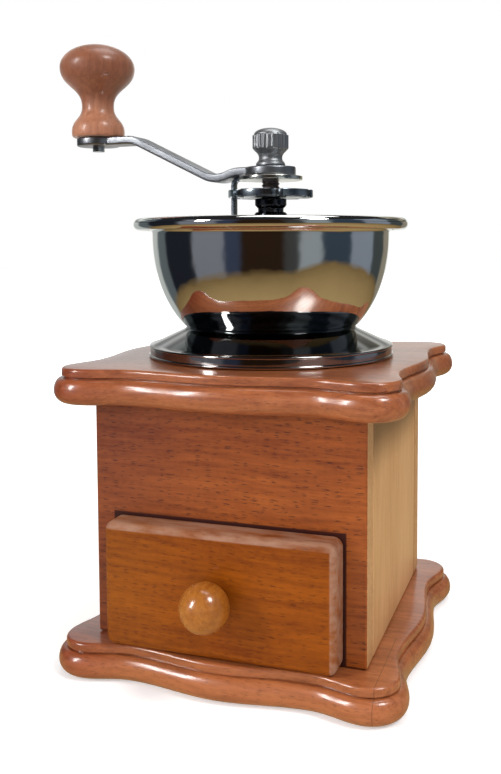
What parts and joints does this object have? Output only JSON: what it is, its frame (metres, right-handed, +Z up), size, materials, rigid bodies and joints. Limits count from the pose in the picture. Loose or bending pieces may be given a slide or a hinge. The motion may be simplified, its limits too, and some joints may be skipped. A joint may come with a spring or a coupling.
{
  "type": "manual coffee grinder",
  "caption": "Manual coffee grinder: a wooden box mill with a drawer, an open polished bowl, a star wheel that sets the grind and a hand crank with a wooden knob.",
  "frame": {"origin": "centre of the base's flat underside", "axes": "+Z up, -Y towards the drawer's front, the crank at rest near -X"},
  "size_m": [0.154, 0.1388, 0.2315],
  "materials": {
    "beech": "clear varnish over orange-brown beech",
    "front_beech": "clear varnish over red-brown beech",
    "pale_beech": "clear varnish over light beech",
    "knob_beech": "varnished, turned",
    "bare_wood": "bare, sanded",
    "chrome": "mirror polished",
    "dark_chrome": "dark mirror",
    "black_gloss": "black gloss",
    "blued_steel": "blued",
    "satin_nickel": "satin nickel plate",
    "pale_zinc": "bright plate",
    "cast_iron": "as cast",
    "spring_steel": "oiled"
  },
  "bodies": {
    "housing": {"base_plate": "beech", "front_panel": "front_beech", "back_panel": "beech", "left_panel": "beech", "right_panel": "pale_beech", "top_plate": "beech", "base_screw_1": "satin_nickel", "base_screw_2": "satin_nickel", "base_screw_3": "satin_nickel", "base_screw_4": "satin_nickel", "hopper_flange": "dark_chrome", "hopper_bowl": "chrome", "outer_burr": "cast_iron", "burr_screw_1": "satin_nickel", "burr_screw_2": "satin_nickel", "burr_screw_3": "satin_nickel", "bearing_bridge": "black_gloss", "bearing_bush": "black_gloss", "bridge_screw_1": "satin_nickel", "bridge_screw_2": "satin_nickel"},
    "wheel": {"adjusting_wheel": "blued_steel", "spring_washer": "satin_nickel"},
    "shaft": {"spindle": "spring_steel", "inner_burr": "cast_iron", "burr_washer": "satin_nickel", "burr_nut": "satin_nickel", "pressure_spring": "spring_steel"},
    "stop": {"stop_plate": "pale_zinc"},
    "crank": {"crank_arm": "satin_nickel", "knob_bolt": "satin_nickel"},
    "nut": {"lock_nut": "satin_nickel"},
    "grip": {"crank_knob": "knob_beech"},
    "drawer": {"drawer_front": "beech", "drawer_left_side": "bare_wood", "drawer_right_side": "bare_wood", "drawer_back": "bare_wood", "drawer_bottom": "bare_wood", "drawer_knob": "pale_beech", "drawer_knob_screw": "satin_nickel"}
  },
  "joints": [
    {"name": "crank_turn", "type": "hinge", "parent": "housing", "child": "wheel", "pos_m": [0, 0, 0.12], "axis": [0, 0, 1], "continuous": true},
    {"name": "grind_setting", "type": "slide", "parent": "wheel", "child": "shaft", "axis": [0, 0, 1], "range_m": [-0.0015, 0.0015], "deforming": ["pressure_spring"]},
    {"name": "stop_plate_lift", "type": "slide", "parent": "shaft", "child": "stop", "axis": [0, 0, 1], "range_m": [0, 0.014]},
    {"name": "crank_lift", "type": "slide", "parent": "stop", "child": "crank", "axis": [0, 0, 1], "range_m": [0, 0.015]},
    {"name": "lock_nut_lift", "type": "slide", "parent": "crank", "child": "nut", "axis": [0, 0, 1], "range_m": [0, 0.012]},
    {"name": "knob_spin", "type": "hinge", "parent": "crank", "child": "grip", "pos_m": [-0.0761, 0.00399, 0.21], "axis": [0, 0, 1], "continuous": true},
    {"name": "drawer_slide", "type": "slide", "parent": "housing", "child": "drawer", "axis": [0, -1, 0], "range_m": [0, 0.09]}
  ]
}
